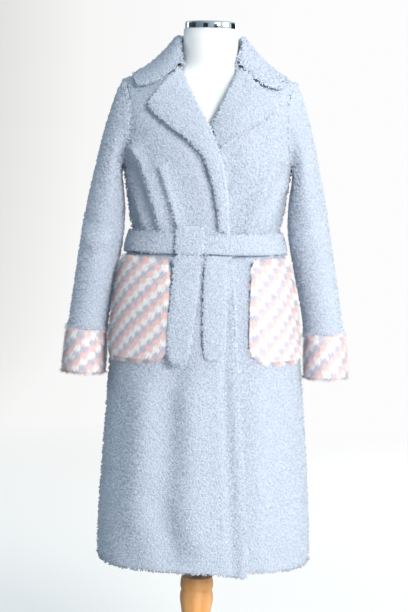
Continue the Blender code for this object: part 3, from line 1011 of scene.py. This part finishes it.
    def roots(self, solid: Array, around: Surroundings) -> Roots:
        """Spread the tufts' roots evenly over the faces that carry pile.

        Args:
            solid: Where the cloth's points lay on the solid.
            around: The part's solids.

        Returns:
            The roots that nothing covers.
        """
        rng = np.random.default_rng(self.pile.seed)
        self.mesh.calc_loop_triangles()
        owner = numbers(self.mesh.loop_triangles, "polygon_index", 1, int)
        carried = self.bearing[owner] | (self.joined[owner] & self.sewn_pile)
        corners = numbers(self.mesh.loop_triangles, "vertices", 3, int)[carried]
        sewn = self.joined[owner[carried]]
        places = self.points()
        first, second, third = (places[corners[:, k]] for k in range(3))
        area = 0.5 * np.linalg.norm(np.cross(second - first, third - first), axis=1)
        side = np.sum(self.looks[corners].mean(axis=1) * self.away(first), axis=1) < self.crowd_limit
        crowd = np.where(side & self.flat, self.crowd, 1.0)
        spacing = self.pile.tuft.spacing
        wanted = np.floor(crowd * area / spacing**2 + rng.random(len(area))).astype(int)
        chosen = np.repeat(np.arange(len(area)), wanted)
        number = np.arange(len(chosen)) - np.repeat(np.cumsum(wanted) - wanted, wanted)
        offset = rng.random((len(area), 2))[chosen]
        share = (number[:, None] * np.array(EVEN_STEPS) + offset) % 1
        fold = share.sum(axis=1) > 1
        share[fold] = 1 - share[fold]
        weight = np.column_stack([1 - share.sum(axis=1), share])[:, :, None]
        spots, above, normals = (
            np.sum(rows[corners[chosen]] * weight, axis=1) for rows in (places, solid, self.looks)
        )
        normals = unit(normals)
        normals[sewn[chosen]] = self.away(spots[sewn[chosen]])
        clear = ~around.covered(above, normals, self.cover, self.margin)
        spots, normals = spots[clear], normals[clear]
        cloth = self.cloth_place(spots)
        extent = np.stack([cloth.min(axis=0) - spacing, cloth.max(axis=0) + spacing])
        away = self.away(spots)
        fall = self.fall_out * away - np.array([0.0, 0.0, 1.0])
        fall = unit(fall - normals * np.sum(fall * normals, axis=1, keepdims=True))
        out = np.sum(normals * away, axis=1, keepdims=True)
        aside = np.clip(1 - out, 0, 1) * (out > self.seam_limit)
        shade = unit(normals + (self.rim_light * aside + self.flat_light * self.flat) * away)
        return Roots(spots, normals, shade, fall, cloth, extent)


@dataclass
class Sleeve(ClothPiece):
    """A sleeve, whose pile runs on over the armhole seam."""

    hold: float = 1.0
    sewn_pile: bool = True


@dataclass
class BeltBand(ClothPiece):
    """The belt round the waist, drawn together where it runs into the knot."""

    knot: Pair = (-0.012, 0.075)
    narrow: float = 0.10
    crumple: float = 0.0022
    crumple_rows: float = 260.0
    crumple_slant: float = 18.0

    def shape(self) -> None:
        """Draw the band together towards the knot, with two small crumples."""
        places = self.points()
        start, end = self.knot
        near = (places[:, 0] > start) & (places[:, 1] < 0)
        share = soft_step((end - places[:, 0]) / (end - start)) * near
        middle = 0.5 * (places[:, 2].min() + places[:, 2].max())
        places[:, 2] += (middle - places[:, 2]) * self.narrow * share
        rows = np.sin((places[:, 2] - middle) * self.crumple_rows + self.crumple_slant * places[:, 0])
        places[:, 1] -= self.crumple * rows * share
        self.move(places)


@dataclass
class Lapel(ClothPiece):
    """A lapel, whose upper edge runs up to the collar."""

    flat: bool = True
    side: float = 1.0
    up: Pair = (0.51, 0.86)
    reach: float = 0.006
    strip: float = 0.022

    def shape(self) -> None:
        """Draw the upper edge up to the collar."""
        places = self.points()
        up = np.array([self.up[0] * self.side, 0.0, self.up[1]])
        height = places @ up
        share = soft_step((height - height.max() + self.strip) / self.strip)
        self.move(places + self.reach * share[:, None] * up)


@dataclass
class BeltEnd(ClothPiece):
    """A hanging belt end, whose head is drawn out to meet the knot."""

    flat: bool = True
    reach: float = 0.009
    head: float = 0.045
    overlap: float = 0.0025

    def shape(self) -> None:
        """Draw the head out and up."""
        places = self.points()
        share = soft_step((places[:, 2] - places[:, 2].max() + self.head) / self.head)
        places[:, 1] -= self.reach * share
        places[:, 2] += self.overlap * share
        self.move(places)


CURLS = Tuft(length=0.0080, width=0.0036, spacing=0.0046, curl=110, twist=60, wander=60, lock=0.0050)
LONG = Tuft(
    length=0.0125,
    width=0.0024,
    spacing=0.0022,
    lean=52,
    wander=16,
    uneven=0.20,
    softness=0.9,
    stray=0.0014,
    taper=(1.0,),
)
# the first colour of each ground is painted shade in the gaps between curls, the second the tops
BLUE_GROUND = BackingFinish("matted_blue", (0.42, 0.47, 0.58), (0.55, 0.595, 0.70))
CHECK_GROUND = BackingFinish("matted_pale", (0.68, 0.62, 0.65), (0.86, 0.80, 0.81))
SHORT_CURLS = Pile(CURLS, CurlFinish("curly_blue_pile"), BLUE_GROUND, depth=0.0042)
LONG_PILE = Pile(LONG, CheckFinish("check_pile"), CHECK_GROUND, depth=0.0070)
RIGHT_ARM = ((0.79, -0.262, 0.0), (1.08, -0.228, 0.0), (1.42, -0.17, 0.0))
LEFT_ARM = ((0.79, 0.272, 0.0), (1.08, 0.229, 0.0), (1.42, 0.17, 0.0))
FRONT_EDGE_CREASES = creases(
    View.FRONT,
    (7, -6, (46, 980), (50, 830), (52, 766), (62, 616), (79, 387)),
    (11, 4, (66, 830), (69, 766), (81, 616), (98, 387)),
)
FRONT_CREASES = creases(
    View.FRONT,
    (11, 10, (-158, 1292), (-142, 1262), (-127, 1221), (-109, 1167), (-103, 1132)),
    (10, -7, (-162, 1264), (-149, 1226), (-129, 1166), (-115, 1125)),
    (13, 9, (-98, 1246), (-82, 1198), (-68, 1153), (-61, 1132)),
    (9, -7, (-110, 1239), (-100, 1204), (-85, 1162), (-76, 1125)),
    (10, 7, (-165, 1240), (-154, 1181), (-140, 1145), (-136, 1132)),
    (9, -6, (-176, 1200), (-163, 1150), (-155, 1125)),
    (11, -6, (-136, 1376), (-98, 1337), (-64, 1317), (-30, 1290), (-4, 1248)),
    (11, -6, (-4, 1248), (8, 1210), (14, 1170), (17, 1130)),
    (28, -9, (-55, 840), (-71, 764), (-74, 657), (-76, 507), (-62, 420)),
    (34, 7, (-122, 760), (-130, 650), (-137, 500)),
    (34, 6, (-26, 760), (-18, 600), (-8, 460)),
    (28, -5, (-105, 560), (-65, 470), (-30, 430)),
)
LEFT_LAPEL_CREASES = creases(
    View.FRONT,
    (9, 6, (143, 1375), (115, 1347), (67, 1322), (34, 1294), (24, 1273)),
)
FRONT_LEFT_CREASES = creases(
    View.FRONT,
    (8, -5, (154, 1366), (125, 1335), (77, 1308), (46, 1281)),
    (8, -7, (118, 1178), (108, 1148), (99, 1125)),
    (15, 7, (148, 1276), (126, 1227), (103, 1155), (88, 1132)),
    (11, 8, (163, 1222), (150, 1179), (140, 1155), (134, 1132)),
    (9, -6, (176, 1200), (164, 1160), (156, 1125)),
    (6, -6, (53, 1250), (47, 1223), (42, 1200)),
    (30, -5, (152, 780), (160, 600), (166, 420)),
    (30, 4, (116, 760), (122, 600), (131, 440)),
)
BACK_CREASES = creases(
    View.BACK,
    (14, 9, (-115, 1300), (-100, 1220), (-82, 1135)),
    (11, -6, (-128, 1260), (-114, 1190), (-98, 1130)),
    (12, 7, (-45, 1250), (-38, 1190), (-34, 1135)),
    (13, 8, (4, 1240), (6, 1180), (10, 1135)),
    (13, 9, (120, 1280), (104, 1210), (88, 1135)),
    (10, -6, (136, 1240), (120, 1180), (105, 1130)),
    (11, 6, (60, 1220), (52, 1170), (49, 1135)),
    (32, 8, (-100, 1030), (-120, 850), (-132, 600), (-138, 420)),
    (28, -8, (-50, 1020), (-58, 850), (-64, 620), (-70, 420)),
    (34, 7, (4, 1020), (2, 800), (6, 600), (12, 420)),
    (28, -8, (66, 1020), (78, 820), (86, 620), (90, 420)),
    (32, 7, (122, 1020), (140, 800), (150, 550)),
)
RIGHT_SLEEVE_CREASES = creases(
    View.FRONT,
    (12, -4, (-262, 1140), (-236, 1120), (-205, 1118)),
    (13, 4, (-270, 1105), (-244, 1088), (-212, 1092)),
    (12, -3, (-272, 1070), (-246, 1058), (-216, 1064)),
) + creases(
    View.BACK,
    (14, 4, (-266, 1120), (-240, 1105), (-208, 1100)),
    (12, -4, (-262, 1150), (-236, 1138), (-206, 1136)),
)
LEFT_SLEEVE_CREASES = creases(
    View.FRONT,
    (12, -4, (268, 1150), (240, 1128), (206, 1124)),
    (13, 4, (272, 1112), (246, 1094), (213, 1096)),
) + creases(
    View.BACK,
    (14, 4, (268, 1126), (242, 1110), (210, 1106)),
    (12, -4, (264, 1156), (238, 1142), (207, 1140)),
)


@dataclass
class Coat:
    """The whole coat, piece by piece."""

    front: Cut = Cut(0.46, 1.10, 0.36)
    sleeve: Cut = Cut(0.36, 0.56, 0.14)
    cuff: Cut = Cut(0.34, 0.105, 0.032)
    inside: LiningFinish = LiningFinish("plain_inside", (0.46, 0.50, 0.60))

    def pieces(self) -> list[ClothPiece]:
        """List all pieces of cloth.

        Returns:
            The pieces in the order of sewing.
        """
        blue, check = SHORT_CURLS, LONG_PILE
        right, left = ("front_right",), ("front_left",)
        front, sleeve, cuff = self.front, self.sleeve, self.cuff
        return [
            ClothPiece("back", Cut(0.72, 1.10, 0.585), blue, levels=1, hold=1.0, creases=BACK_CREASES),
            ClothPiece("front_right", front, blue, hold=1.0, creases=FRONT_EDGE_CREASES + FRONT_CREASES),
            ClothPiece("front_left", front, blue, hold=1.0, creases=FRONT_LEFT_CREASES + FRONT_CREASES),
            Sleeve("sleeve_right", sleeve, blue, core=RIGHT_ARM, creases=RIGHT_SLEEVE_CREASES),
            Sleeve("sleeve_left", sleeve, blue, core=LEFT_ARM, creases=LEFT_SLEEVE_CREASES),
            ClothPiece("cuff_right", cuff, check, core=RIGHT_ARM, seam=CLOSE),
            ClothPiece("cuff_left", cuff, check, core=LEFT_ARM, seam=CLOSE),
            ClothPiece("collar", Cut(0.56, 0.17, 0.083), blue, faces=Faces.OPEN, seam=CLOSE),
            Lapel("lapel_right", Cut(0.12, 0.36, 0.0226), blue, right, side=-1.0),
            Lapel("lapel_left", Cut(0.15, 0.19, 0.0161), blue, left, creases=LEFT_LAPEL_CREASES),
            ClothPiece("pocket_right", Cut(0.19, 0.225, 0.0405), check, right, flat=True),
            ClothPiece("pocket_left", Cut(0.155, 0.225, 0.0337), check, left, flat=True),
            BeltBand("belt_band", Cut(0.054, 1.05, 0.055), blue, ("front_right", "back"), seam=CLOSE),
            ClothPiece("belt_knot", Cut(0.06, 0.10, 0.0052), blue, ("belt_band",), flat=True),
            BeltEnd("belt_end_right", Cut(0.064, 0.25, 0.0153), blue, right),
            ClothPiece("belt_end_left", Cut(0.058, 0.235, 0.0131), blue, right, flat=True),
        ]

    def build(self) -> None:
        """Make every piece with its pile."""
        around = Surroundings()
        lining = self.inside.material()
        for number, piece in enumerate(self.pieces()):
            piece.pile.seed = number + 1
            piece.build(around, lining)


def chrome() -> Material:
    """Polished metal with a trace of wear."""
    nodes = Nodes("chrome")
    wear = nodes.noise(scale=180.0, detail=4.0)
    rough = nodes.add("MapRange", {"Value": wear, "To Min": 0.04, "To Max": 0.12}).outputs["Result"]
    nodes.feed(nodes.shader, {"Base Color": (0.78, 0.79, 0.81, 1), "Metallic": 1.0, "Roughness": rough})
    return nodes.owner


@dataclass
class DressForm:
    """The white dress form with the metal ring on its neck."""

    ring: tuple[Pair, ...] = (
        (0.0, 1.5535), (0.0545, 1.5535), (0.0565, 1.5543), (0.0570, 1.5560), (0.0570, 1.5665),
        (0.0562, 1.5684), (0.0545, 1.5694), (0.0500, 1.5700), (0.0, 1.5705),
    )
    ring_steps: int = 96

    def build(self) -> None:
        """Make the torso and the ring."""
        put(softened("form_torso", "dress_form", 1), "form_torso", "white_form", self.white())
        put(turned("neck_ring", self.ring, self.ring_steps), "form_neck_ring", "chrome", chrome())

    @staticmethod
    def white() -> Material:
        """Smooth white, a little uneven in its shine."""
        nodes = Nodes("white_form")
        dull, clean = (0.84, 0.84, 0.84), (0.88, 0.88, 0.88)
        colour = nodes.ramp(nodes.noise(scale=14.0), [(0.3, dull), (0.7, clean)])
        nodes.feed(nodes.shader, {"Base Color": colour, "Roughness": 0.42})
        nodes.bump(nodes.noise(scale=420.0), depth=0.0002, strength=0.15)
        return nodes.owner


@dataclass
class Stand:
    """The turned wooden stand: base, post and the metal tube up into the form."""

    base: tuple[Pair, ...] = (
        (0.0, 0.0), (0.203, 0.0), (0.2085, 0.002), (0.210, 0.006), (0.210, 0.019), (0.2075, 0.0255),
        (0.200, 0.0300), (0.150, 0.0360), (0.070, 0.0420), (0.048, 0.0452), (0.042, 0.0460), (0.0, 0.0460),
    )
    post: tuple[Pair, ...] = (
        (0.0, 0.0463), (0.0335, 0.0463), (0.0335, 0.0520), (0.0300, 0.0600), (0.0255, 0.0780),
        (0.0230, 0.1000), (0.0219, 0.1250), (0.0220, 0.1500), (0.0235, 0.1820), (0.0260, 0.2150),
        (0.0300, 0.2500), (0.0342, 0.2780), (0.0365, 0.2920), (0.0370, 0.3000), (0.0365, 0.3080),
        (0.0352, 0.3140), (0.0341, 0.3180), (0.0345, 0.3190), (0.0363, 0.3230), (0.0367, 0.3265),
        (0.0366, 0.3330), (0.0358, 0.3400), (0.0340, 0.3470), (0.0, 0.3470),
    )
    tube: tuple[Pair, ...] = ((0.0, 0.3473), (0.0125, 0.3473), (0.0125, 0.7557), (0.0, 0.7557))
    lying_grain: Triple = (4.0, 48.0, 48.0)
    upright_grain: Triple = (60.0, 60.0, 5.0)

    def build(self) -> None:
        """Turn the three pieces."""
        lying = self.wood("lying_wood", self.lying_grain)
        upright = self.wood("upright_wood", self.upright_grain)
        put(turned("base", self.base), "stand_base", "turned_wood", lying)
        put(turned("post", self.post), "stand_post", "turned_wood", upright)
        put(turned("tube", self.tube), "stand_pole", "chrome", chrome())

    @staticmethod
    def wood(name: str, stretch: Triple) -> Material:
        """Honey-coloured varnished wood, its grain drawn out along one way.

        Args:
            name: The material's name.
            stretch: How finely the grain changes along each axis.

        Returns:
            The material.
        """
        nodes = Nodes(name)
        drawn = nodes.add("Mapping", {"Vector": nodes.place(), "Scale": stretch}).outputs["Vector"]
        grain = nodes.noise(scale=1.0, detail=5.0, place=drawn)
        dark, middle, light = (0.68, 0.28, 0.086), (0.86, 0.41, 0.142), (0.94, 0.50, 0.195)
        colour = nodes.ramp(grain, [(0.3, dark), (0.5, middle), (0.75, light)])
        nodes.feed(nodes.shader, {"Base Color": colour, "Roughness": 0.42, "Coat Weight": 0.15})
        nodes.bump(grain, depth=0.0003, strength=0.2)
        return nodes.owner


WARM_LIGHT = (1.0, 0.96, 0.92)
COOL_LIGHT = (0.87, 0.95, 1.0)


@dataclass(frozen=True)
class Lamp:
    """A soft square lamp and the height on the stand's axis at which it aims."""

    name: str
    place: Triple
    size: float
    power: float
    tone: Colour = WARM_LIGHT
    aim: float = 1.0

    def build(self) -> None:
        """Hang the lamp and aim it."""
        lamp = bpy.data.lights.new(self.name, "AREA")
        lamp.size = self.size
        lamp.energy = self.power
        lamp.color = self.tone
        light = link(bpy.data.objects.new(self.name, lamp))
        light.location = self.place
        light.rotation_euler = aimed(self.place, (0, 0, self.aim)).to_euler()


@dataclass
class Studio:
    """Pale round backdrop, dark cards, soft lights and the camera."""

    reach: float = 10.0
    wall: float = 5.0
    bend: float = 3.0
    backdrop_steps: int = 64
    # half width of the painted light across the wall, darker to the left and lighter to the right
    painted_light_half_width: float = 1.6
    glow_start: float = 1.2
    glow_full: float = 4.5
    dark_cards: tuple[Pair, ...] = ((-2.1, -1.25), (-0.62, -0.25), (0.2, 0.5), (1.7, 2.3))
    card_away: float = 2.6
    card_heights: Pair = (0.6, 2.4)
    card_steps: int = 8
    sky: tuple[tuple[int, Colour, Colour], ...] = (
        (UP, (0.66, 0.69, 0.73), (1.04, 1.34, 1.48)),
        (ACROSS, (0.14, 0.18, 0.21), (0.80, 0.78, 0.76)),
    )
    lamps: tuple[Lamp, ...] = (
        Lamp("window", (2.0, -3.9, 2.4), size=1.6, power=182.0),
        Lamp("side_window", (3.6, -1.6, 2.1), size=1.9, power=35.0),
        Lamp("back_window", (2.2, 3.8, 2.2), size=2.2, power=90.0),
        Lamp("left_window", (-3.6, 1.6, 2.0), size=2.0, power=50.0, tone=COOL_LIGHT),
        Lamp("floor_glow", (0.4, -1.5, 0.06), size=1.2, power=4.0, aim=0.9),
    )
    camera_place: Triple = (0.0, -4.0, 1.30)
    camera_aim: Triple = (0.0, 0.0, 0.951)
    camera_roll: float = 1.5
    lens: float = 107.35

    def build(self) -> None:
        """Set up the backdrop, cards, lights and camera."""
        self.backdrop()
        self.cards()
        self.lights()
        self.camera()

    def backdrop(self) -> None:
        """A floor that curves up into a wall all round; the wall glows and lights nothing, with painted light
        that makes it darker to the left and lighter to the right.
        """
        steps = [math.radians(angle) for angle in range(0, 91, 15)]
        inner = self.reach - self.bend
        curve = [(inner + self.bend * math.sin(a), self.bend * (1 - math.cos(a))) for a in steps]
        mesh = turned("backdrop", ((0.0, 0.0), *curve, (self.reach, self.wall)), self.backdrop_steps)
        mesh.flip_normals()
        nodes = Nodes("backdrop_paper")
        place = nodes.place()
        # painted light: the wall's glow is darker to the left and lighter to the right, as if lit from the
        # right
        tone = nodes.ramp(
            nodes.ranged(nodes.split(place)[ACROSS], -self.painted_light_half_width, self.painted_light_half_width),
            [(0.0, (0.76, 0.76, 0.745)), (0.22, (0.93, 0.93, 0.925)), (0.65, (0.98, 0.98, 0.98))],
        )
        away = nodes.add("VectorMath", {0: place}, operation="LENGTH").outputs["Value"]
        far = nodes.ranged(away, self.glow_start, self.glow_full)
        nodes.feed(nodes.shader, {"Base Color": (0.87, 0.81, 0.78, 1), "Roughness": 0.9})
        glow = nodes.add("Emission", {"Color": tone})
        join = nodes.add("MixShader", {0: far, 1: nodes.shader.outputs[0], 2: glow.outputs[0]})
        nodes.feed(nodes.tree.nodes["Material Output"], {"Surface": join.outputs[0]})
        mesh.materials.append(nodes.owner)
        piece = link(bpy.data.objects.new("backdrop", mesh))
        piece.visible_diffuse = False
        piece.visible_glossy = False
        piece.visible_shadow = False

    def cards(self) -> None:
        """Dark cards round the stand, which show in polished metal alone."""
        nodes = Nodes("dark_card")
        nodes.feed(nodes.shader, {"Base Color": (0.015, 0.016, 0.02, 1), "Roughness": 0.9})
        for number, (start, end) in enumerate(self.dark_cards):
            shape = bmesh.new()
            across, back = math.sin(start) * self.card_away, -math.cos(start) * self.card_away
            rows = [shape.verts.new((across, back, height)) for height in self.card_heights]
            line = [*rows, shape.edges.new(rows)]
            turn = {"angle": end - start, "steps": self.card_steps, "use_merge": False}
            bmesh.ops.spin(shape, geom=line, **turn, **STAND_AXIS)
            mesh = finished(shape, f"dark_card_{number + 1}")
            mesh.materials.append(nodes.owner)
            card = link(bpy.data.objects.new(mesh.name, mesh))
            card.visible_camera = False
            card.visible_diffuse = False
            card.visible_shadow = False

    def lights(self) -> None:
        """A sky that is lighter above and to the right, and the lamps."""
        nodes = Nodes("pale_sky", "worlds", "Background")
        parts = nodes.split(nodes.add("TexCoord").outputs["Generated"])
        tones = [
            nodes.ramp(nodes.ranged(parts[axis], -1.0, 1.0), [(0.0, low), (1.0, high)])
            for axis, low, high in self.sky
        ]
        nodes.feed(nodes.shader, {"Color": nodes.multiply(*tones)})
        bpy.context.scene.world = nodes.owner
        for lamp in self.lamps:
            lamp.build()

    def camera(self) -> None:
        """A long lens at the height of the chest, rolled a little."""
        scene = bpy.context.scene
        lens = bpy.data.cameras.new("camera")
        lens.sensor_width = 36.0
        lens.lens = self.lens
        camera = link(bpy.data.objects.new("camera", lens))
        look = aimed(self.camera_place, self.camera_aim).to_matrix().to_4x4()
        roll = Matrix.Rotation(math.radians(self.camera_roll), 4, "Z")
        camera.matrix_world = Matrix.Translation(self.camera_place) @ look @ roll
        scene.camera = camera
        scene.view_settings.view_transform = "Standard"


def main() -> None:
    """Build everything."""
    logging.basicConfig(level=logging.INFO, format="%(name)s %(message)s")
    Coat().build()
    DressForm().build()
    Stand().build()
    Studio().build()


if __name__ == "__main__":
    main()
